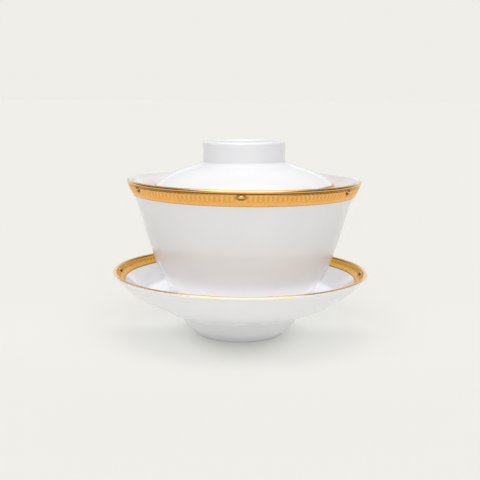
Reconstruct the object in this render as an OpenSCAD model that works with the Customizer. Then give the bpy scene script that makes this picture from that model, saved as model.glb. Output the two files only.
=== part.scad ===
// Porcelain gaiwan: a lidded tea bowl standing loose in a footed saucer.
// Each porcelain piece carries raised gilding: a rounded lip, a band beside it and studs on the band.
// Origin at the centre of the underside of the saucer's foot, +Z up, millimetres.

/* [Bowl] */
// Diameter over the bowl's lip
bowl_d = 98.2; // [97:0.2:100]
// Height of the bowl, foot to lip
bowl_h = 59.6; // [58:0.2:61]
// Thickness of the bowl's wall
bowl_wall = 2.4; // [2.0:0.1:2.5]
// Height of the bowl's foot ring
bowl_foot_h = 6; // [5:0.5:6]
// Sideways rest place of the bowl in its loose saucer well
bowl_shift = 1.25; // [0:0.25:1.25]

/* [Lid] */
// Diameter over the lid's lip
lid_d = 83.8; // [82:0.2:83.8]
// Height of the lid, lip to knob top
lid_h = 26.8; // [25:0.2:28]
// Thickness of the lid's dome
lid_wall = 2.4; // [2.0:0.1:2.8]
// Depth of the lid's lip below the bowl's lip
lid_depth = 11; // [10.5:0.1:11]
// Lean of the lid where it rests on the bowl's flared wall, in degrees
lid_lean = 0.75; // [0:0.05:0.75]
// Diameter of the knob ring
knob_d = 34.5; // [32:0.5:35]
// Thickness of the knob ring's wall
knob_wall = 2.9; // [2.5:0.1:3.5]

/* [Saucer] */
// Diameter over the saucer's lip
saucer_d = 108; // [107:0.5:110]
// Height of the saucer, foot to lip
saucer_h = 27.3; // [27:0.1:28]
// Thickness of the saucer's dish
saucer_wall = 2; // [1.8:0.1:2.2]
// Thickness of the floor of the saucer's well
floor_t = 3; // [2.5:0.1:3.5]

/* [Gilding] */
// Radius of each rounded lip
lip_r = 0.85; // [0.8:0.05:0.9]
// Thickness of the gilding
gilt_t = 0.25; // [0.2:0.05:0.3]
// Number of studs on each band
studs = 6; // [4:1:12]
// Diameter of a stud
stud_d = 2.4; // [2:0.1:2.5]
// Turn of the first stud on the bowl and lid away from the front, in degrees
stud_turn = -1.4; // [-30:0.1:30]
// Turn of the first stud on the saucer away from the front, in degrees
saucer_stud_turn = 28.6; // [-30:0.1:30]

/* [Hidden] */

$fn = 144;
fine = 432;         // sides of a large circle that small studs are cut with
porcelain = "#f4f3f1";
polished_gold = "#c8922e";
matt_gold = "#dfa656";

curve_steps = 6;    // straight pieces between two points of a curve
arc_steps = 6;      // straight pieces in a rounded corner
lip_steps = 12;     // straight pieces in the gilt part of a lip, and in the rest of it
lip_proud = 0.2;    // how far a lip stands out of the face beside it
band_proud = 0.1;   // how far a band stands out of the porcelain
bowl_gilt = [-75, 85];   // where the gold on the bowl's lip starts and ends, in degrees up from level
lid_gilt = [-80, 80];    // the same for the lid
saucer_gilt = [35, 190]; // the same for the saucer, whose gold runs on over the inside
stud_proud = 0.7;   // height of a stud over its band
stud_share = 0.62;  // place of the studs across a band, from its plain edge to its lip
stud_gap = 0.03;    // gap between a stud's foot and the porcelain
front = -90;        // direction of the front about Z, in degrees
flare = 0.35;       // how fast the bowl's inside widens where the lid rests

bowl_r = bowl_d / 2;
lid_r = lid_d / 2;
saucer_r = saucer_d / 2;
knob_r = knob_d / 2;
seat_z = 6.6;                              // top of the floor of the saucer's well
lid_z = seat_z + bowl_h - lid_depth;       // underside of the lid's lip
lid_shift = lid_r * sin(lid_lean) * flare; // a leaning lid slides up the flare

// A smooth curve through every point of p.
function blend(a, b, c, d, t) =
    (2 * b + (c - a) * t + (2 * a - 5 * b + 4 * c - d) * t * t + (3 * b - a - 3 * c + d) * t * t * t) / 2;
function curve(p) = let (last = len(p) - 1)
    [for (i = [0 : last - 1], k = [0 : curve_steps - 1])
        blend(p[max(i - 1, 0)], p[i], p[i + 1], p[min(i + 2, last)], k / curve_steps), p[last]];

// Points of an arc round c from angle a to angle b.
function turn(a) = [cos(a), sin(a)];
function arc(c, r, a, b, steps = arc_steps) = [for (k = [0 : steps]) c + r * turn(a + (b - a) * k / steps)];

// Unit normal on the right of the way from a to b, and points moved to the left of their way by t.
function right_of(a, b) = [b[1] - a[1], a[0] - b[0]] / norm(b - a);
function inset(p, t) = [for (i = [0 : len(p) - 1])
    p[i] - t * right_of(p[max(i - 1, 0)], p[min(i + 1, len(p) - 1)])];
function part_of(p, a, b) = [for (i = [a : b]) p[i]];
function backwards(p) = [for (i = [len(p) - 1 : -1 : 0]) p[i]];
function sized(shares, r, h) = [for (s = shares) [s[0] * r, s[1] * h]];

// Bowl outline: shares of its radius and height, from the foot up to the gold band.
bowl_lip = [bowl_r - lip_r, bowl_h - lip_r];
bowl_side = sized([[0.430, 0.117], [0.538, 0.164], [0.631, 0.225], [0.690, 0.292], [0.749, 0.393],
    [0.803, 0.527], [0.851, 0.661], [0.885, 0.762], [0.911, 0.829], [0.947, 0.893]], bowl_r, bowl_h);
bowl_low = bowl_side[9];
bowl_out = right_of(bowl_low, bowl_lip + [lip_r / 2, 0]);
bowl_high = bowl_lip + (lip_r - lip_proud) * bowl_out;
bowl_floor = bowl_foot_h + 1.2 * bowl_wall;
bowl_inside = concat([[0, bowl_floor], [0.22 * bowl_r, bowl_floor + 0.5]],
    inset(part_of(bowl_side, 1, 9), bowl_wall));
bowl_foot = [[0, bowl_foot_h], [16, bowl_foot_h], [16.6, 0], [18.2, 0], [18.6, 0.4], [20.2, 5.2]];

// Lid outline: shares of its radius and height, from the knob down to the gold band.
lid_lip = [lid_r - lip_r, lip_r];
lid_side = sized([[0.430, 0.664], [0.496, 0.629], [0.596, 0.583], [0.666, 0.541], [0.727, 0.500],
    [0.784, 0.455], [0.824, 0.418], [0.853, 0.386], [0.873, 0.360], [0.889, 0.335]], lid_r, lid_h);
lid_low = lid_side[9];
lid_out = -right_of(lid_low, lid_lip + [lip_r / 2, 0]);
lid_high = lid_lip + (lip_r - lip_proud) * lid_out;
lid_crown = 0.74 * lid_h;
lid_inside = concat([[0, lid_crown - lid_wall], [0.22 * lid_r, lid_crown - lid_wall - 0.5]],
    inset(lid_side, -lid_wall));
knob_round = 1.2;
knob_fillet = 0.9;
knob_floor = lid_crown + 0.6;

// Saucer outline: shares of its radius and height, from the foot ring round the dish to the lip.
saucer_lip = [saucer_r - lip_r, saucer_h - lip_r];
saucer_side = sized([[0.357, 0.028], [0.414, 0.120], [0.446, 0.208], [0.468, 0.292], [0.494, 0.346],
    [0.532, 0.368], [0.585, 0.398], [0.637, 0.436], [0.704, 0.495], [0.761, 0.557], [0.819, 0.630],
    [0.867, 0.700], [0.907, 0.769], [0.946, 0.850], [0.974, 0.923]], saucer_r, saucer_h);
saucer_low = [0.906 * saucer_r, 0.868 * saucer_h];
saucer_out = -right_of(saucer_low, saucer_lip);
saucer_high = saucer_lip + (lip_r - lip_proud) * saucer_out;
saucer_foot = [[0, seat_z - floor_t], [15.2, seat_z - floor_t], [15.8, 0], [18.6, 0]];
saucer_well = [[20.2, seat_z], [21.5, seat_z + 0.3], [22.6, seat_z + 1.4], [23.6, seat_z + 3.4],
    [25.2, seat_z + 5.4], [27.6, seat_z + 6.1]];
saucer_inside = concat(saucer_well, inset(part_of(saucer_side, 6, 11), saucer_wall), [saucer_low]);

// Outline of a rounded lip round its centre c, with corners where its gold starts and ends.
module lip_round(c, gilt) {
    gap = (gilt[0] + 360 - gilt[1]) / (lip_steps + 1);
    polygon(concat(arc(c, lip_r, gilt[0], gilt[1], lip_steps),
        arc(c, lip_r, gilt[1] + gap, gilt[0] + 360 - gap, lip_steps - 1)));
}

// Cross-section of the gold on a lip, between the two angles of gilt round its centre c.
module gold_lip_section(c, gilt) {
    polygon(concat(arc(c, lip_r, gilt[0], gilt[1], lip_steps),
        arc(c, lip_r - gilt_t, gilt[1], gilt[0], lip_steps)));
}

// Cross-section of a gold band from low to high, let into the face and ending at the lip round c.
module gold_band_section(low, high, out, c, gilt) {
    difference() {
        polygon([low - gilt_t * out, low + band_proud * out, high + band_proud * out, high - gilt_t * out]);
        lip_round(c, gilt);
    }
}

module bowl_lip_section() { gold_lip_section(bowl_lip, bowl_gilt); }
module bowl_band_section() { gold_band_section(bowl_low, bowl_high, bowl_out, bowl_lip, bowl_gilt); }
module lid_lip_section() { gold_lip_section(lid_lip, lid_gilt); }
module lid_band_section() { gold_band_section(lid_low, lid_high, lid_out, lid_lip, lid_gilt); }
module saucer_lip_section() { gold_lip_section(saucer_lip, saucer_gilt); }
module saucer_band_section() {
    gold_band_section(saucer_low, saucer_high, saucer_out, saucer_lip, saucer_gilt);
}

// The three porcelain cross-sections, each with the seats of its gilding cut away.
module bowl_section() {
    difference() {
        union() {
            polygon(concat(bowl_foot, curve(bowl_side), [bowl_high, bowl_lip - lip_r * bowl_out],
                backwards(curve(bowl_inside))));
            lip_round(bowl_lip, bowl_gilt);
        }
        bowl_lip_section();
        bowl_band_section();
    }
}

module lid_section() {
    top = lid_h - knob_round;
    inner = knob_r - knob_wall;
    difference() {
        union() {
            polygon(concat(curve(lid_inside), [lid_lip - lip_r * lid_out, lid_high],
                backwards(curve(lid_side)),
                [[knob_r, lid_side[0][1] + knob_fillet]],
                arc([knob_r - knob_round, top], knob_round, 0, 90),
                arc([inner + knob_round, top], knob_round, 90, 180),
                arc([inner - knob_fillet - knob_round, knob_floor + knob_round], knob_round, 0, -90),
                [[0, knob_floor]]));
            lip_round(lid_lip, lid_gilt);
        }
        lid_lip_section();
        lid_band_section();
    }
}

module saucer_section() {
    difference() {
        union() {
            polygon(concat(saucer_foot, curve(saucer_side),
                [saucer_lip + [lip_r, 0], saucer_lip, saucer_high],
                backwards(curve(saucer_inside)), [[0, seat_z]]));
            lip_round(saucer_lip, saucer_gilt);
        }
        saucer_lip_section();
        saucer_band_section();
    }
}

// A row of pins with round heads, standing square on a band from low to high, the first turned by first.
module stud_row(low, high, out, first) {
    place = low + stud_share * (high - low) + band_proud * out;
    sink = 2 * gilt_t + band_proud;
    head_r = ((stud_d / 2) ^ 2 + stud_proud ^ 2) / (2 * stud_proud);
    half_angle = asin(stud_d / 2 / head_r);
    for (i = [0 : studs - 1])
        rotate([0, 0, front + first + i * 360 / studs])
            translate([place[0], 0, place[1]])
                rotate([0, atan2(out[0], out[1]), 0])
                    rotate_extrude($fn = 96)
                        polygon(concat([[0, -sink], [stud_d / 2, -sink]],
                            arc([0, stud_proud - head_r], head_r, 90 - half_angle, 90)));
}

// The studs proper: the row of pins, cut off just over the bed of the gold band.
module stud_solids(low, high, out, first) {
    bed = gilt_t - stud_gap;
    below = 4 * gilt_t;
    difference() {
        stud_row(low, high, out, first);
        rotate_extrude($fn = fine)
            polygon([low - bed * out, high - bed * out, high - below * out, low - below * out]);
    }
}

// Where each piece rests.
module on_saucer() { translate([bowl_shift, 0, seat_z]) children(); }
module on_bowl() { translate([bowl_shift + lid_shift, 0, lid_z]) rotate([0, -lid_lean, 0]) children(); }

module saucer() { color(porcelain) rotate_extrude() saucer_section(); }
module saucer_gold_lip() { color(polished_gold) rotate_extrude() saucer_lip_section(); }
module saucer_gold_band() {
    color(matt_gold) difference() {
        rotate_extrude() saucer_band_section();
        stud_row(saucer_low, saucer_high, saucer_out, saucer_stud_turn);
    }
}
module saucer_gold_studs() {
    color(polished_gold) stud_solids(saucer_low, saucer_high, saucer_out, saucer_stud_turn);
}

module bowl() { color(porcelain) on_saucer() rotate_extrude() bowl_section(); }
module bowl_gold_lip() { color(polished_gold) on_saucer() rotate_extrude() bowl_lip_section(); }
module bowl_gold_band() {
    color(matt_gold) on_saucer() difference() {
        rotate_extrude() bowl_band_section();
        stud_row(bowl_low, bowl_high, bowl_out, stud_turn);
    }
}
module bowl_gold_studs() {
    color(polished_gold) on_saucer() stud_solids(bowl_low, bowl_high, bowl_out, stud_turn);
}

module lid() { color(porcelain) on_bowl() rotate_extrude() lid_section(); }
module lid_gold_lip() { color(polished_gold) on_bowl() rotate_extrude() lid_lip_section(); }
module lid_gold_band() {
    color(matt_gold) on_bowl() difference() {
        rotate_extrude() lid_band_section();
        stud_row(lid_low, lid_high, lid_out, stud_turn);
    }
}
module lid_gold_studs() {
    color(polished_gold) on_bowl() stud_solids(lid_low, lid_high, lid_out, stud_turn);
}

saucer();
saucer_gold_lip();
saucer_gold_band();
saucer_gold_studs();
bowl();
bowl_gold_lip();
bowl_gold_band();
bowl_gold_studs();
lid();
lid_gold_lip();
lid_gold_band();
lid_gold_studs();
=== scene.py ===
"""Looks of a porcelain gaiwan: a lidded tea bowl on a saucer, with raised gilding at every lip.

Outlines are in millimetres, in the frame of the piece they belong to: radius from its axis, height over its
base. Angles go round the axis from the front, -Y, towards +X.
"""
import math

import bpy
import numpy as np
from mathutils import Matrix, Vector


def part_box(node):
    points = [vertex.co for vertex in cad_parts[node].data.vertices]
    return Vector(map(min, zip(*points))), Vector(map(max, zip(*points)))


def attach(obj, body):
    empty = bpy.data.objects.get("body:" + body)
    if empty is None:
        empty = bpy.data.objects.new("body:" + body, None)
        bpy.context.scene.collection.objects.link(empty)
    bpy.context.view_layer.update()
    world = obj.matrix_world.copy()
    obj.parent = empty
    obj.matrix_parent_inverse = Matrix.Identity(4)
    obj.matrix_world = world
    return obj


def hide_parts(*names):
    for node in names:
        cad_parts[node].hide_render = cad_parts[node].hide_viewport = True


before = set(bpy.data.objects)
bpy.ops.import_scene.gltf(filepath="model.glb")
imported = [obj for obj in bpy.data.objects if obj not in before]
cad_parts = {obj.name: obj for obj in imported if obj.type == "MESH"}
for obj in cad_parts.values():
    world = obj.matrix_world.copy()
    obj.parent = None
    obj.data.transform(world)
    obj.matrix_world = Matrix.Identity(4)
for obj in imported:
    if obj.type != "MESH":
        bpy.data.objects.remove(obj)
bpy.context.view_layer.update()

MM = 0.001

# ---------------------------------------------------------------- sizes

TURN_STEPS = 288        # sides of a turned piece
CURVE_STEPS = 10        # straight pieces between two points of a curve
LIP_R = 0.85            # radius of every rounded lip
GILT_T = 0.25           # thickness of the gilding
LIP_PROUD = 0.2         # how far a lip stands out of the face beside it
STUDS = 6               # studs on each band
STUD_TURN = -1.4        # first stud on the bowl and lid, degrees
SAUCER_STUD_TURN = 28.6
STUD_SHARE = 0.62       # place of the studs across a band
STUD_UP = 0.35          # the oval's place in a stud
OVAL = (1.55, 0.95, 0.68)   # half width, half height and depth of a stud's oval
DROP = (0.9, 0.55, 0.4)     # and of the drop under it
DROP_DOWN = 1.5         # from the oval to the drop
OVAL_SHADE = 1.6        # painted shade on the gold round the oval's lower edge
RIBS = 24               # ribs between two studs
RIB_START = 4.1         # from a stud to its nearest rib, degrees
RIB_SHARE = 0.36        # half a rib's breadth, as a share of the ribs' pitch
RIB_H = 0.24            # height of a rib over the ground of the band
BORDER_H = 0.12         # height of the plain border
GROUND_H = 0.02         # height of the ground over the porcelain
DISH_DEPTH = 0.1        # depth of the dish round a stud
DISH_REACH = (1.9, 1.25)    # half width and half height of that dish
DISH_SHADE = 0.7        # painted shade on the gold in it
FRAME_AT = 2.55         # from a stud to the upright line beside it, degrees
FRAME_HALF = 0.14       # half that line's breadth, degrees
FRAME_H = 0.1           # and its height
LID_LEAN = math.radians(0.75)   # the lid rests a little askew
WALL = 2.4              # thickness of the bowl and the lid
SAUCER_WALL = 2
KNOB_WALL = 2.9


def middle(node):
    lo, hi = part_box(node)
    return (lo + hi) / 2


def radius(node):
    """Radius of a turned node, measured along Y, which the lid's lean leaves alone."""
    lo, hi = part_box(node)
    return (hi.y - lo.y) / 2 / MM


SAUCER_R = radius("saucer")
SAUCER_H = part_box("saucer_gold_lip")[1].z / MM
SAUCER_AT = Vector((0, 0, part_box("saucer")[0].z))
BOWL_R = radius("bowl_gold_lip")
BOWL_AT = Vector((middle("bowl_gold_lip").x, 0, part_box("bowl")[0].z))
BOWL_H = (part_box("bowl")[1].z - BOWL_AT.z) / MM
LID_R = radius("lid_gold_lip")
LID_AT = middle("lid_gold_lip") - Vector((0, 0, LIP_R * MM))
SEAT_Z = (BOWL_AT.z - SAUCER_AT.z) / MM
KNOB_R = 17.25
KNOB_EDGE = 1.2
KNOB_TOP_R = KNOB_R - KNOB_EDGE
LID_H = ((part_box("lid")[1].z - LID_AT.z) / MM - KNOB_TOP_R * math.sin(LID_LEAN)) / math.cos(LID_LEAN)


# ---------------------------------------------------------------- outlines

def sized(shares, r, h):
    return np.array(shares) * (r, h)


def curve(points):
    """A smooth curve through every point."""
    p = np.array(points, float)
    out = []
    for i in range(len(p) - 1):
        a, b, c, d = p[max(i - 1, 0)], p[i], p[i + 1], p[min(i + 2, len(p) - 1)]
        for t in np.arange(CURVE_STEPS) / CURVE_STEPS:
            out.append((2 * b + (c - a) * t + (2 * a - 5 * b + 4 * c - d) * t ** 2
                        + (3 * b - a - 3 * c + d) * t ** 3) / 2)
    return np.array(out + [p[-1]])


def arc(centre, r, start, end, steps=12):
    a = np.radians(np.linspace(start, end, steps + 1))
    return np.array(centre) + r * np.column_stack((np.cos(a), np.sin(a)))


def right_of(a, b):
    """Unit normal on the right of the way from a to b."""
    d = np.subtract(b, a)
    return np.array((d[1], -d[0])) / np.hypot(*d)


def inset(points, t):
    """The points moved to the left of their way by t."""
    last = len(points) - 1
    return np.array([points[i] - t * right_of(points[max(i - 1, 0)], points[min(i + 1, last)])
                     for i in range(last + 1)])


def rounded(points, r):
    """The inner corners of a broken line rounded with radius r, its two ends kept."""
    p = np.array(points, float)
    out = [p[0]]
    for a, b, c in zip(p, p[1:], p[2:]):
        u, v = (a - b) / np.hypot(*(a - b)), (c - b) / np.hypot(*(c - b))
        half = math.acos(np.clip(u @ v, -1, 1)) / 2
        reach = r / math.tan(half)
        for t in np.linspace(0, 1, 7):
            out.append((1 - t) ** 2 * (b + reach * u) + 2 * t * (1 - t) * b + t ** 2 * (b + reach * v))
    return np.array(out + [p[-1]])


def bearing(v):
    """Direction of a vector in degrees up from level."""
    return math.degrees(math.atan2(v[1], v[0]))


class Rim:
    """A gilded rim: a round lip, and a flat band that runs up to it from its plain edge.

    lip is the lip's centre and low is the plain edge. towards is how far to the side of that centre the band
    aims. gilt is the two ends of the lip's gold in degrees, and out_sign picks the side that the band faces.
    ribs is where the ribs start and end, along the band. cut is the depth of the groove between lip and band.
    groove, edge, gap and brink are how much painted shade darkens the gold: in that groove, along the plain
    edge, between the ribs, and where the lip's gold ends on the inside.
    """

    def __init__(self, lip, low, towards, gilt, out_sign, ribs, cut, groove, edge, gap, brink):
        self.lip, self.low, self.gilt, self.ribs = np.array(lip), np.array(low), gilt, ribs
        self.cut, self.groove, self.edge, self.gap, self.brink = cut, groove, edge, gap, brink
        self.out = out_sign * right_of(self.low, self.lip + (towards, 0))
        self.high = self.lip + (LIP_R - LIP_PROUD) * self.out
        self.length = float(np.hypot(*(self.high - self.low)))
        self.way = (self.high - self.low) / self.length

    def painted_shade(self, s):
        """Painted shade on the gold at s along the band, in the groove between band and lip."""
        return self.groove * np.clip(2.0 - np.abs(s - self.length + 0.35) / 0.28, 0, 1)

    def lip_painted_shade(self, points):
        """Painted shade on the gold at each point of the lip's outline, in the groove and at the inner brink.
        """
        groove = self.painted_shade((points - self.low) @ self.way) * ((points - self.lip) @ self.out > 0)
        turned = np.degrees(np.arctan2(*(points - self.lip).T[::-1]))
        return np.maximum(groove, self.brink * np.clip((np.abs(turned) - 48) / 16, 0, 1) * (groove == 0))

    def seat(self):
        """The porcelain's recess under the band, from its plain edge to the lip."""
        reach = self.length - 0.6
        return [self.low - GILT_T * self.out, self.low + reach * self.way - GILT_T * self.out]


# sides from foot or knob to rim, as shares of a piece's radius and height
SAUCER_SIDE = sized([(0.357, 0.028), (0.414, 0.120), (0.446, 0.208), (0.468, 0.292), (0.494, 0.346),
                     (0.532, 0.368), (0.585, 0.398), (0.637, 0.436), (0.704, 0.495), (0.761, 0.557),
                     (0.819, 0.630), (0.867, 0.700), (0.907, 0.769), (0.946, 0.850), (0.974, 0.923)],
                    SAUCER_R, SAUCER_H)
BOWL_SIDE = sized([(0.430, 0.117), (0.538, 0.164), (0.631, 0.225), (0.690, 0.292), (0.749, 0.393),
                   (0.803, 0.527), (0.851, 0.661), (0.885, 0.762), (0.911, 0.829), (0.947, 0.893)],
                  BOWL_R, BOWL_H)
LID_SIDE = sized([(0.430, 0.664), (0.496, 0.629), (0.596, 0.583), (0.666, 0.541), (0.727, 0.500),
                  (0.784, 0.455), (0.824, 0.418), (0.853, 0.386), (0.873, 0.360), (0.889, 0.335)],
                 LID_R, LID_H)

SAUCER_RIM = Rim(lip=(SAUCER_R - LIP_R, SAUCER_H - LIP_R), low=(0.906 * SAUCER_R, 0.868 * SAUCER_H),
                 towards=0, gilt=(35, 190), out_sign=-1, ribs=(2.2, 4.5),
                 cut=0.08, groove=0.2, edge=0.9, gap=0.5, brink=0.0)
BOWL_RIM = Rim(lip=(BOWL_R - LIP_R, BOWL_H - LIP_R), low=BOWL_SIDE[-1],
               towards=LIP_R / 2, gilt=(-75, 85), out_sign=1, ribs=(1.85, 4.75),
               cut=0.2, groove=0.9, edge=0.7, gap=0.24, brink=0.15)
LID_RIM = Rim(lip=(LID_R - LIP_R, LIP_R), low=LID_SIDE[-1],
              towards=LIP_R / 2, gilt=(-80, 80), out_sign=-1, ribs=(3.1, 6.2),
              cut=0.2, groove=0.9, edge=0.7, gap=0.24, brink=0.15)


def bowl_outline():
    rim, foot_h = BOWL_RIM, 6
    floor = foot_h + 1.2 * WALL
    foot = rounded([(0, foot_h), (16, foot_h), (16.6, 0), (18.2, 0), (18.6, 0.4), (20.2, 5.2)], 0.25)
    inside = np.vstack([[(0, floor), (0.22 * BOWL_R, floor + 0.5)], inset(BOWL_SIDE[1:], WALL)])
    return np.vstack([foot[:-1], curve(np.vstack([foot[-1:], BOWL_SIDE])), rim.seat(),
                      arc(rim.lip, LIP_R - GILT_T, *rim.gilt),
                      arc(rim.lip, LIP_R, rim.gilt[1], bearing(-rim.out)),
                      curve(inside)[::-1]])


def lid_outline():
    rim, fillet, edge = LID_RIM, 0.9, KNOB_EDGE
    crown = 0.74 * LID_H
    inside = np.vstack([[(0, crown - WALL), (0.22 * LID_R, crown - WALL - 0.5)], inset(LID_SIDE, -WALL)])
    top, inner, floor = LID_H - edge, KNOB_R - KNOB_WALL, crown + 0.6
    root = LID_SIDE[0]
    return np.vstack([curve(inside),
                      arc(rim.lip, LIP_R, bearing(-rim.out) - 360, rim.gilt[0]),
                      arc(rim.lip, LIP_R - GILT_T, *rim.gilt),
                      rim.seat()[::-1], curve(LID_SIDE)[::-1],
                      arc((KNOB_R + fillet, root[1] + 1.1 * fillet), fillet, 225, 180, 6),
                      arc((KNOB_R - edge, top), edge, 0, 90),
                      arc((inner + edge, top), edge, 90, 180),
                      arc((inner - fillet - edge, floor + edge), edge, 0, -90),
                      [(0, floor)]])


def saucer_outline():
    rim, floor_t = SAUCER_RIM, 3
    foot = rounded([(0, SEAT_Z - floor_t), (15.2, SEAT_Z - floor_t), (15.8, 0), (18.6, 0), SAUCER_SIDE[0]],
                   0.25)
    well = [(20.2, SEAT_Z), (21.5, SEAT_Z + 0.3), (22.6, SEAT_Z + 1.4), (23.6, SEAT_Z + 3.4),
            (25.2, SEAT_Z + 5.4), (27.6, SEAT_Z + 6.1)]
    inside = curve(np.vstack([well, inset(SAUCER_SIDE[6:12], SAUCER_WALL), [rim.low]]))
    return np.vstack([foot[:-1], curve(np.vstack([SAUCER_SIDE, [rim.lip + (LIP_R, -0.1)]])),
                      arc(rim.lip, LIP_R, 0, rim.gilt[0]),
                      arc(rim.lip, LIP_R - GILT_T, *rim.gilt),
                      rim.seat()[::-1], inside[::-1], [(0, SEAT_Z)]])


def lip_outline(rim):
    return np.vstack([arc(rim.lip, LIP_R, *rim.gilt, 24), arc(rim.lip, LIP_R - GILT_T, *rim.gilt[::-1], 24)])


# ---------------------------------------------------------------- meshes

def piece(name, verts, faces, material, sharp=32, painted_shade=None):
    """A closed mesh from verts in millimetres, smooth but for edges over sharp degrees.

    The last argument gives at each point how much painted shade darkens the gold, 0 to 1.
    """
    mesh = bpy.data.meshes.new(name)
    mesh.from_pydata((np.asarray(verts) * MM).tolist(), [], faces)
    mesh.validate()
    mesh.shade_smooth()
    mesh.set_sharp_from_angle(angle=math.radians(sharp))
    mesh.materials.append(material)
    # store the gold's painted shade on the mesh
    if painted_shade is not None:
        mesh.attributes.new("painted_shade", "FLOAT", "POINT").data.foreach_set("value", painted_shade)
    made = bpy.data.objects.new(name, mesh)
    bpy.context.scene.collection.objects.link(made)
    return made


def around(r, z, angles):
    """Points at radius r and height z, at each angle from the front, in degrees."""
    a = np.radians(angles)
    return np.column_stack((r * np.sin(a), -r * np.cos(a), z * np.ones_like(a)))


def without_repeats(outline):
    keep = [outline[0]]
    for point in outline[1:]:
        if np.hypot(*(point - keep[-1])) > 1e-4:
            keep.append(point)
    return np.array(keep)


def turned(name, outline, material, painted_shade=None):
    """An outline turned about Z. Its ends lie on the axis, or it is a closed loop off the axis."""
    outline = without_repeats(outline)
    angles = np.arange(TURN_STEPS) * 360 / TURN_STEPS
    verts, rings = [], []
    for r, z in outline:
        rings.append(len(verts))
        verts.extend([(0, 0, z)] if r < 1e-6 else around(r, z, angles))
    poles = outline[0][0] < 1e-6
    pairs = list(zip(range(len(rings) - 1), range(1, len(rings))))
    if not poles:
        pairs.append((len(rings) - 1, 0))
    faces = []
    for low, high in pairs:
        for k in range(TURN_STEPS):
            n = (k + 1) % TURN_STEPS
            a = [rings[low]] if outline[low][0] < 1e-6 else [rings[low] + k, rings[low] + n]
            b = [rings[high]] if outline[high][0] < 1e-6 else [rings[high] + n, rings[high] + k]
            faces.append(a + b)
    return piece(name, verts, faces, material, painted_shade=painted_shade and np.repeat(painted_shade(outline), TURN_STEPS))


def rib_columns(stud_turn):
    """Angles of a band's columns, each with its offset from a rib and from a stud, and the ribs' pitch."""
    sector = 360 / STUDS
    pitch = (sector - 2 * RIB_START) / (RIBS - 1)
    across = np.array((-0.5, -0.38, -0.33, -0.22, -0.1, 0.1, 0.22, 0.33, 0.38)) * pitch
    plain = np.linspace(-RIB_START + pitch / 2, RIB_START - pitch / 2, 25)[:-1]
    angles, rib, stud = [], [], []
    for s in range(STUDS):
        start = stud_turn + s * sector
        angles.extend(start + plain)
        rib.extend([pitch] * len(plain))
        stud.extend(plain)
        for k in range(RIBS):
            centre = RIB_START + k * pitch
            angles.extend(start + centre + across)
            rib.extend(across)
            stud.extend([sector] * len(across))
    return np.array(angles), np.array(rib), np.array(stud), pitch


def bump(distance, reach):
    """Half-round profile: 1 at distance 0, 0 from reach on."""
    return np.sqrt(np.clip(1 - (distance / reach) ** 2, 0, 1))


def band_relief(rows, rib, stud, pitch, rim):
    """Height over the porcelain, and the painted shade on the gold, at every row and column of a band."""
    s, ribs = rows[:, None], rim.ribs
    length, to_mm = rim.length, math.radians(1) * rim.low[0]
    half = RIB_SHARE * pitch * to_mm
    ends = np.maximum(0, np.maximum(ribs[0] + half - s, s - (ribs[1] - half)))
    tongue = bump(np.hypot(rib[None, :] * to_mm, ends), half)
    border = np.clip((ribs[0] - 0.25 - s) / 0.15, 0, 1)
    edge = bump(np.maximum(0, 0.2 - s), 0.2)
    groove = np.clip((s - length + 1.1) / 0.3, 0, 1)
    ground = GROUND_H + BORDER_H * border * edge - rim.cut * groove
    stud_s = STUD_SHARE * length + STUD_UP
    beside = np.hypot(stud[None, :] * to_mm / DISH_REACH[0], (s - stud_s) / DISH_REACH[1])
    dish = -DISH_DEPTH * np.clip(1.25 - beside, 0, 0.25) / 0.25
    frame_line = bump(np.abs(stud[None, :]) - FRAME_AT, FRAME_HALF) * (ends < half)
    height = ground + RIB_H * tongue + dish + FRAME_H * frame_line
    among = np.clip(1 - ends / half, 0, 1) * (np.abs(stud[None, :]) > 2.7)
    # painted shade: darker between the ribs, along the plain edge, in the groove by the lip and round each
    # stud's dish
    painted_shade = rim.gap * among * (1 - tongue) + rim.edge * np.clip(1 - s / 0.45, 0, 1) + rim.painted_shade(s)
    painted_shade = painted_shade + DISH_SHADE * np.clip(1 - np.abs(beside - 0.95) / 0.3, 0, 1)
    return height, np.clip(painted_shade, 0, 1)


def band(name, rim, stud_turn, material):
    """A gold band: ribs between studs, a smooth border along its plain edge and a groove along the lip."""
    angles, rib, stud, pitch = rib_columns(stud_turn)
    ribs, end = rim.ribs, rim.length - 0.5
    rows = np.concatenate([
        np.linspace(0, 0.2, 5)[:-1], np.linspace(0.2, ribs[0] - 0.4, 5)[:-1],
        np.linspace(ribs[0] - 0.4, ribs[0], 5)[:-1], np.linspace(ribs[0], ribs[0] + 0.7, 9)[:-1],
        np.linspace(ribs[0] + 0.7, ribs[1] - 0.7, 9)[:-1], np.linspace(ribs[1] - 0.7, ribs[1], 9)[:-1],
        np.linspace(ribs[1], end, 7)])
    heights, painted_shade = band_relief(rows, rib, stud, pitch, rim)
    front = rim.low + rows[:, None] * rim.way
    verts = []
    for (r, z), h in zip(front, heights):
        verts.extend(around(r + h * rim.out[0], z + h * rim.out[1], angles))
    for s in (end, rim.length / 2, 0):
        r, z = rim.low + s * rim.way - GILT_T * rim.out
        verts.extend(around(r, z, angles))
    painted_shade = np.concatenate([painted_shade.ravel(), np.zeros(3 * len(angles))])
    loops, n = len(rows) + 3, len(angles)
    faces = [(i * n + k, i * n + (k + 1) % n, (i + 1) % loops * n + (k + 1) % n, (i + 1) % loops * n + k)
             for i in range(loops) for k in range(n)]
    return piece(name, verts, faces, material, sharp=50, painted_shade=painted_shade)


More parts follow.
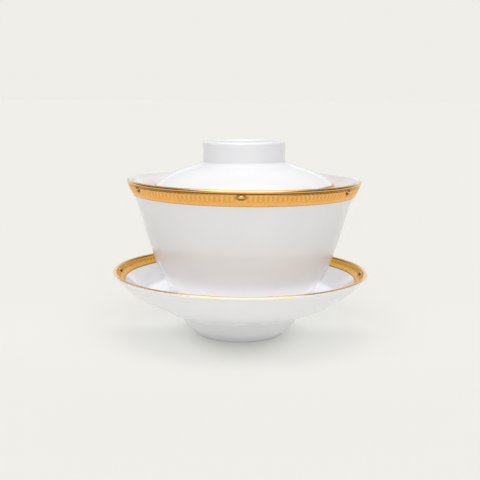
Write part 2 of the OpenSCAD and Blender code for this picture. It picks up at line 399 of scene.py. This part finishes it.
def dome(half_x, half_y, height, shape, sink):
    """A closed dome over the plane: shape(a) is its outline at angle a, half_x by half_y in size."""
    sides, rings = 32, 8
    a = np.arange(sides) * 2 * math.pi / sides
    x, y = shape(a)
    verts = [(0, 0, -sink)]
    for rho in (1.0, *np.cos(np.linspace(0, math.pi / 2, rings + 1)[:-1])):
        up = -sink if len(verts) == 1 else height * math.sqrt(max(0, 1 - rho ** 2))
        verts.extend(np.column_stack((half_x * rho * x, half_y * rho * y, up * np.ones(sides))))
    verts.append((0, 0, height))
    faces = [(0, 1 + (k + 1) % sides, 1 + k) for k in range(sides)]
    for i in range(rings):
        low, high = 1 + i * sides, 1 + (i + 1) * sides
        faces += [(low + k, low + (k + 1) % sides, high + (k + 1) % sides, high + k) for k in range(sides)]
    last = 1 + rings * sides
    faces += [(last + k, last + (k + 1) % sides, len(verts) - 1) for k in range(sides)]
    return np.array(verts), faces


def oval(a):
    return np.cos(a), np.sin(a)


def drop(a):
    """A pointed drop hanging down from y = 1."""
    t = a + math.pi / 2
    return -np.sin(t) * np.sin(t / 2), -np.cos(t)


def stud_set(name, rim, stud_turn, material):
    """The studs of a band: each an oval boss with a small drop under it."""
    parts = [(dome(*OVAL, oval, GILT_T), STUD_UP, OVAL_SHADE),
             (dome(*DROP, drop, GILT_T), STUD_UP - DROP_DOWN, 0.0)]
    verts, faces, painted_shade = [], [], []
    for s in range(STUDS):
        a = math.radians(stud_turn + s * 360 / STUDS)
        tangent = np.array((math.cos(a), math.sin(a), 0))
        level = np.array((math.sin(a), -math.cos(a), 0))
        up = level * rim.way[0] + np.array((0, 0, rim.way[1]))
        out = level * rim.out[0] + np.array((0, 0, rim.out[1]))
        for (shape, ring), along, shade_share in parts:
            r, z = rim.low + (STUD_SHARE * rim.length + along) * rim.way
            place = level * r + np.array((0, 0, z))
            start = len(verts)
            verts.extend(place + shape @ np.array((tangent, up, out)))
            # painted shade: darker on each oval's lower side and towards its base; none on the drop
            painted_shade.extend(np.clip(shade_share * (0.5 - shape[:, 1] - 0.5 * shape[:, 2]), 0, 1))
            faces += [tuple(start + i for i in f) for f in ring]
    return piece(name, verts, faces, material, sharp=50, painted_shade=painted_shade)


# ---------------------------------------------------------------- materials

class Nodes:
    """The node tree of a material or a world, with short ways to add to it."""

    def __init__(self, owner, place):
        owner.use_nodes = True
        self.tree = owner.node_tree
        self.place = self.add("ShaderNodeTexCoord").outputs[place]

    def add(self, kind, **settings):
        node = self.tree.nodes.new(kind)
        for key, value in settings.items():
            setattr(node, key, value)
        return node

    def link(self, a, b):
        self.tree.links.new(a, b)

    def put(self, value, socket):
        if isinstance(value, bpy.types.NodeSocket):
            self.link(value, socket)
        else:
            socket.default_value = value

    def noise(self, scale, detail=2.0, rough=0.5):
        node = self.add("ShaderNodeTexNoise")
        self.link(self.place, node.inputs["Vector"])
        node.inputs["Scale"].default_value = scale
        node.inputs["Detail"].default_value = detail
        node.inputs["Roughness"].default_value = rough
        return node.outputs["Fac"]

    def ramp(self, value, low, high, out_low=0.0, out_high=1.0):
        node = self.add("ShaderNodeMapRange", interpolation_type="SMOOTHSTEP")
        for key, number in (("Value", value), ("From Min", low), ("From Max", high),
                            ("To Min", out_low), ("To Max", out_high)):
            self.put(number, node.inputs[key])
        return node.outputs["Result"]

    def maths(self, operation, a, b=0.0):
        node = self.add("ShaderNodeMath", operation=operation)
        self.put(a, node.inputs[0])
        self.put(b, node.inputs[1])
        return node.outputs["Value"]

    def mix(self, share, a, b):
        node = self.add("ShaderNodeMix", data_type="RGBA")
        self.put(share, node.inputs["Factor"])
        self.put(a, node.inputs["A"])
        self.put(b, node.inputs["B"])
        return node.outputs["Result"]

    def along(self, direction):
        """How far the place lies along a direction."""
        node = self.add("ShaderNodeVectorMath", operation="DOT_PRODUCT")
        self.link(self.place, node.inputs[0])
        node.inputs[1].default_value = direction
        return node.outputs["Value"]

    def distance(self, centre, stretch=(1, 1, 1)):
        """Distance from centre, once the place is stretched."""
        stretched = self.add("ShaderNodeVectorMath", operation="MULTIPLY")
        self.link(self.place, stretched.inputs[0])
        stretched.inputs[1].default_value = stretch
        node = self.add("ShaderNodeVectorMath", operation="DISTANCE")
        self.link(stretched.outputs["Vector"], node.inputs[0])
        node.inputs[1].default_value = centre
        return node.outputs["Value"]


class Surface(Nodes):
    """A new material and its nodes."""

    def __init__(self, name):
        self.material = bpy.data.materials.new(name)
        super().__init__(self.material, "Object")
        self.shader = self.tree.nodes["Principled BSDF"]

    def relief(self, height, depth):
        node = self.add("ShaderNodeBump")
        node.inputs["Distance"].default_value = depth
        self.link(height, node.inputs["Height"])
        self.link(node.outputs["Normal"], self.shader.inputs["Normal"])


def porcelain(name, foot_h, white):
    """White porcelain under a clear glaze, bare and matt on the foot ring below foot_h."""
    n = Surface(name)
    s = n.shader
    deep, thin = ((*(white * c for c in tone), 1) for tone in (GLAZE_DEEP, GLAZE_THIN))
    colour = n.mix(n.ramp(n.noise(70, 3), 0.3, 0.7), deep, thin)
    rough = n.ramp(n.noise(160, 3), 0.25, 0.75, 0.06, 0.11)
    if foot_h:
        bare = n.ramp(n.along((0, 0, 1)), foot_h * MM, (foot_h + 0.25) * MM, 1.0, 0.0)
        grit = n.noise(1800, 4, 0.7)
        colour = n.mix(bare, colour, n.mix(n.ramp(grit, 0.35, 0.65), CLAY_DEEP, CLAY_PALE))
        rough = n.maths("ADD", rough, n.maths("MULTIPLY", bare, 0.6))
        grain = n.maths("MULTIPLY", n.maths("MULTIPLY", grit, bare), 0.6)
    else:
        grain = n.maths("MULTIPLY", n.noise(900, 2), 0.04)
    n.link(colour, s.inputs["Base Color"])
    n.link(rough, s.inputs["Roughness"])
    n.relief(n.maths("ADD", n.noise(90, 2), grain), 0.12 * MM)
    s.inputs["IOR"].default_value = 1.5
    s.inputs["Subsurface Weight"].default_value = 0.08
    s.inputs["Subsurface Radius"].default_value = (1.0, 0.9, 0.8)
    s.inputs["Subsurface Scale"].default_value = 1 * MM
    return n.material


def gold(name, light, deep, shine, grain):
    """Gilding, with painted shade in the hollows of its relief.

    light and deep are its two tones, shine is the range of its roughness and grain its bump in millimetres.
    """
    n = Surface(name)
    s = n.shader
    tone = n.noise(350, 4, 0.6)
    # painted shade: the per-point attribute mixes the gold towards a dark colour where shade falls
    painted_shade = n.add("ShaderNodeAttribute", attribute_name="painted_shade").outputs["Fac"]
    n.link(n.mix(painted_shade, n.mix(n.ramp(tone, 0.3, 0.7), light, deep), PAINTED_SHADE_DARK), s.inputs["Base Color"])
    n.link(n.ramp(n.noise(1400, 3, 0.6), 0.3, 0.7, *shine), s.inputs["Roughness"])
    s.inputs["Metallic"].default_value = 1.0
    n.relief(n.noise(2600, 3, 0.6), grain * MM)
    return n.material


def floor_material():
    """A pale sheet lit from below, with a painted shadow under the foot ring and a painted pool of light in a
    ring behind it.
    """
    n = Surface("floor_paper")
    s = n.shader
    fibre = n.ramp(n.noise(900, 4, 0.7), 0.3, 0.7)
    n.link(n.mix(fibre, (*FLOOR_TONE, 1), (*(0.985 * c for c in FLOOR_TONE), 1)), s.inputs["Base Color"])
    # painted shadow: the glow is cut round the foot, centred a little in front of it
    under = n.ramp(n.distance((0, -8 * MM, 0), (1.25, 0.8, 1.0)), 8 * MM, 34 * MM, PAINTED_SHADOW_GLOW, 1.0)
    away = n.distance((0, 0, 0))
    # painted pool of light: more glow in a ring behind the foot
    ring = n.maths("MULTIPLY", n.ramp(away, 20 * MM, 34 * MM), n.ramp(away, 40 * MM, 68 * MM, 1.0, 0.0))
    behind = n.maths("MULTIPLY", ring, n.ramp(n.along((0, 1, 0)), -8 * MM, 12 * MM, 0.0, PAINTED_LIGHT_BEHIND))
    s.inputs["Emission Color"].default_value = (*FLOOR_GLOW, 1)
    n.link(n.maths("ADD", under, behind), s.inputs["Emission Strength"])
    s.inputs["Roughness"].default_value = 0.9
    s.inputs["Specular IOR Level"].default_value = 0.0
    n.relief(n.noise(1500, 4, 0.7), 0.02 * MM)
    return n.material


FLOOR_TONE = (0.473, 0.466, 0.441)
FLOOR_GLOW = (0.372, 0.374, 0.364)   # the table is lit from below as well, which softens every shadow
PAINTED_SHADOW_GLOW = 0.60                    # share of that glow left under the foot ring: a painted shadow
PAINTED_LIGHT_BEHIND = 0.24                   # share added in a ring behind it: a painted pool of light

GLAZE_DEEP = (0.952, 0.958, 0.990)
GLAZE_THIN = (0.966, 0.972, 0.999)
CLAY_DEEP = (0.66, 0.62, 0.56, 1)    # bare clay on the foot rings
CLAY_PALE = (0.78, 0.75, 0.70, 1)
# One porcelain for all three; the saucer's whiter copy is painted light that brightens its shaded well.
GLAZE_BOWL = porcelain("porcelain_bowl", 0.25, 0.95)
GLAZE_LID = porcelain("porcelain_lid", 0, 0.95)
GLAZE_SAUCER = porcelain("porcelain_saucer", 0.25, 0.985)
PAINTED_SHADE_DARK = (0.16, 0.052, 0.004, 1)      # painted shade: the gold's colour where shade falls in the relief
POLISHED = gold("gold_polished", (0.98, 0.60, 0.23, 1), (0.94, 0.54, 0.18, 1), (0.09, 0.15), 0.003)
DEEP_SATIN = gold("gold_satin_deep", (1.0, 0.56, 0.10, 1), (0.98, 0.50, 0.07, 1), (0.26, 0.36), 0.003)
SATIN = gold("gold_satin", (1.0, 0.55, 0.165, 1), (0.97, 0.50, 0.135, 1), (0.26, 0.36), 0.003)


# ---------------------------------------------------------------- the three pieces

def settle(objects, body, at, lean):
    """Puts objects in their place on their body and hides the CAD node each comes with; the slot name each
    also comes with is not used.
    """
    for obj, node, slot in objects:
        obj.data.transform(Matrix.Rotation(-lean, 4, "Y"))
        obj.location = at
        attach(obj, body)
        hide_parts(node)


def porcelain_piece(kind, outline, glaze, satin, rim, stud_turn, at, lean=0.0):
    """One loose piece of porcelain with its gilding."""
    body = turned(f"{kind}_porcelain", outline, glaze)
    lip = turned(f"{kind}_lip", lip_outline(rim), POLISHED, rim.lip_painted_shade)
    gold_band = band(f"{kind}_band", rim, stud_turn, satin)
    studs = stud_set(f"{kind}_studs", rim, stud_turn, POLISHED)
    settle([(body, kind, "porcelain"),
            (lip, f"{kind}_gold_lip", "polished_gold"),
            (gold_band, f"{kind}_gold_band", "matt_gold"),
            (studs, f"{kind}_gold_studs", "polished_gold")], f"{kind}_piece", at, lean)


porcelain_piece("saucer", saucer_outline(), GLAZE_SAUCER, DEEP_SATIN, SAUCER_RIM, SAUCER_STUD_TURN, SAUCER_AT)
porcelain_piece("bowl", bowl_outline(), GLAZE_BOWL, SATIN, BOWL_RIM, STUD_TURN, BOWL_AT)
porcelain_piece("lid", lid_outline(), GLAZE_LID, SATIN, LID_RIM, STUD_TURN, LID_AT, LID_LEAN)


# ---------------------------------------------------------------- stage, light and camera

SHOWN_TONE = (0.863, 0.855, 0.815)  # the backdrop, where the camera sees past the floor
SKY_LOW = (0.98, 0.990, 1.02)
SKY_HIGH = (1.0, 0.988, 0.962)
FILL_COOL = (0.78, 0.94, 1.20)      # makes up for the gold's warm light in a gap
FILL_WHITE = (0.94, 0.96, 1.0)
OVERHEAD_TILT = math.radians(75)    # the overhead light stands a little to the front
OVERHEAD = 1.9                      # strength of each part of the light
STRIP = 1.6
BEHIND, BEHIND_LOW = 0.4, 0.6
FRONT_LOW = 0.50
ROOM_LOW, ROOM_HIGH = 0.16, 0.40    # the room's own light, level and straight up
FLANK_DARK = 0.95                   # how much of the light is taken away at the sides


def floor():
    size = 30.0
    corners = [(-size, -size, 0), (size, -size, 0), (size, size, 0), (-size, size, 0)]
    mesh = bpy.data.meshes.new("floor")
    mesh.from_pydata(corners, [], [(0, 1, 2, 3)])
    mesh.materials.append(floor_material())
    made = bpy.data.objects.new("floor", mesh)
    bpy.context.scene.collection.objects.link(made)


def fill_ring(inner, outer, level, tint, strength):
    """A faint ring of light, fading at its edges. It is unseen and throws no shadow. Sizes are in metres."""
    steps = 72
    turns = [2 * math.pi * i / steps for i in range(steps)]
    points = [(r * math.cos(a), r * math.sin(a), level) for a in turns for r in (inner, outer)]
    faces = [(2 * i, 2 * i + 1, (2 * i + 3) % (2 * steps), (2 * i + 2) % (2 * steps)) for i in range(steps)]
    mesh = bpy.data.meshes.new("fill_ring")
    mesh.from_pydata(points, [], faces)
    n = Surface("fill_ring")
    middle_r = (inner + outer) / 2
    away = n.distance((0, 0, level))
    lamp = n.add("ShaderNodeEmission")
    lamp.inputs["Color"].default_value = (*tint, 1)
    rise = n.ramp(away, inner, middle_r, 0.0, strength)
    fall = n.ramp(away, middle_r, outer, 1.0, 0.0)
    n.link(n.maths("MULTIPLY", rise, fall), lamp.inputs["Strength"])
    both = n.add("ShaderNodeAddShader")
    n.link(lamp.outputs["Emission"], both.inputs[0])
    n.link(n.add("ShaderNodeBsdfTransparent").outputs["BSDF"], both.inputs[1])
    n.link(both.outputs["Shader"], n.tree.nodes["Material Output"].inputs["Surface"])
    mesh.materials.append(n.material)
    made = bpy.data.objects.new("fill_ring", mesh)
    made.visible_camera = made.visible_glossy = made.visible_shadow = False
    bpy.context.scene.collection.objects.link(made)


def fills():
    """Light in the gaps: under the saucer, between it and the bowl, and between bowl and lid."""
    fill_ring(inner=22 * MM, outer=50 * MM, level=7 * MM, tint=FILL_WHITE, strength=0.12)
    fill_ring(inner=29 * MM, outer=45 * MM, level=17.5 * MM, tint=FILL_WHITE, strength=0.42)
    fill_ring(inner=LID_R * MM, outer=(BOWL_R - 2.5) * MM, level=BOWL_AT.z + (BOWL_H - 1.5) * MM,
              tint=FILL_COOL, strength=0.3)


def sky():
    """A dim studio with a large soft light overhead and a broad strip light in front, darker at the sides.

    Pale walls, low in front and up to mid-height behind, fill in the shadows.
    """
    world = bpy.data.worlds.new("studio")
    bpy.context.scene.world = world
    n = Nodes(world, "Generated")
    up = n.along((0, 0, 1))
    side = n.maths("ABSOLUTE", n.along((1, 0, 0)))
    forward = n.along((0, -1, 0))
    over = n.along((0, -math.cos(OVERHEAD_TILT), math.sin(OVERHEAD_TILT)))

    def height_mask(low, high):
        """1 between two heights over the horizon, in degrees, with soft edges."""
        a, b, c, d = (math.sin(math.radians(e)) for e in (low - 4, low, high, high + 4))
        return n.maths("MULTIPLY", n.ramp(up, a, b), n.ramp(up, c, d, 1.0, 0.0))

    room = n.ramp(up, 0.0, 1.0, ROOM_LOW, ROOM_HIGH)
    overhead = n.ramp(over, math.cos(math.radians(45)), math.cos(math.radians(20)), 0.0, OVERHEAD)
    strip = n.maths("MULTIPLY", height_mask(26, 36), n.ramp(side, 0.40, 0.60, 1.0, 0.0))
    strip = n.maths("MULTIPLY", strip, n.ramp(forward, 0.1, 0.3, 0.0, STRIP))
    behind = n.maths("MULTIPLY", height_mask(12, 55), BEHIND)
    behind = n.maths("ADD", behind, n.ramp(up, 0.14, 0.37, BEHIND_LOW, 0.0))
    behind = n.maths("MULTIPLY", behind, n.ramp(forward, -0.7, -0.2, 1.0, 0.0))
    low = n.maths("MULTIPLY", n.ramp(up, 0.15, 0.40, 1.0, 0.0), n.ramp(forward, 0.2, 0.7, 0.0, FRONT_LOW))
    light = n.maths("ADD", n.maths("ADD", room, overhead), n.maths("ADD", strip, n.maths("ADD", behind, low)))
    flank = n.maths("MULTIPLY", n.ramp(side, 0.50, 0.95, 0.0, FLANK_DARK), n.ramp(up, 0.25, 0.60, 1.0, 0.0))
    light = n.maths("MULTIPLY", light, n.maths("SUBTRACT", 1.0, flank))
    lit = n.tree.nodes["Background"]
    n.link(n.mix(n.ramp(up, 0.2, 0.9), (*SKY_LOW, 1), (*SKY_HIGH, 1)), lit.inputs["Color"])
    n.link(light, lit.inputs["Strength"])
    seen = n.add("ShaderNodeBackground")
    seen.inputs["Color"].default_value = (*SHOWN_TONE, 1)
    pick = n.add("ShaderNodeMixShader")
    n.link(n.add("ShaderNodeLightPath").outputs["Is Camera Ray"], pick.inputs["Fac"])
    n.link(lit.outputs["Background"], pick.inputs[1])
    n.link(seen.outputs["Background"], pick.inputs[2])
    n.link(pick.outputs["Shader"], n.tree.nodes["World Output"].inputs["Surface"])


def camera():
    """The camera looks slightly down from in front, and is turned a little about its own line of sight."""
    place = Matrix.Translation((-0.0002, -0.3596, 0.09935))
    down, roll = math.radians(9.41), math.radians(0.65)
    data = bpy.data.cameras.new("camera")
    data.lens, data.sensor_width = 64.0, 36.0
    data.clip_start, data.clip_end = 0.01, 100.0
    made = bpy.data.objects.new("camera", data)
    bpy.context.scene.collection.objects.link(made)
    made.matrix_world = place @ Matrix.Rotation(math.pi / 2 - down, 4, "X") @ Matrix.Rotation(roll, 4, "Z")
    bpy.context.scene.camera = made


floor()
fills()
sky()
camera()
bpy.context.scene.view_settings.view_transform = "Standard"
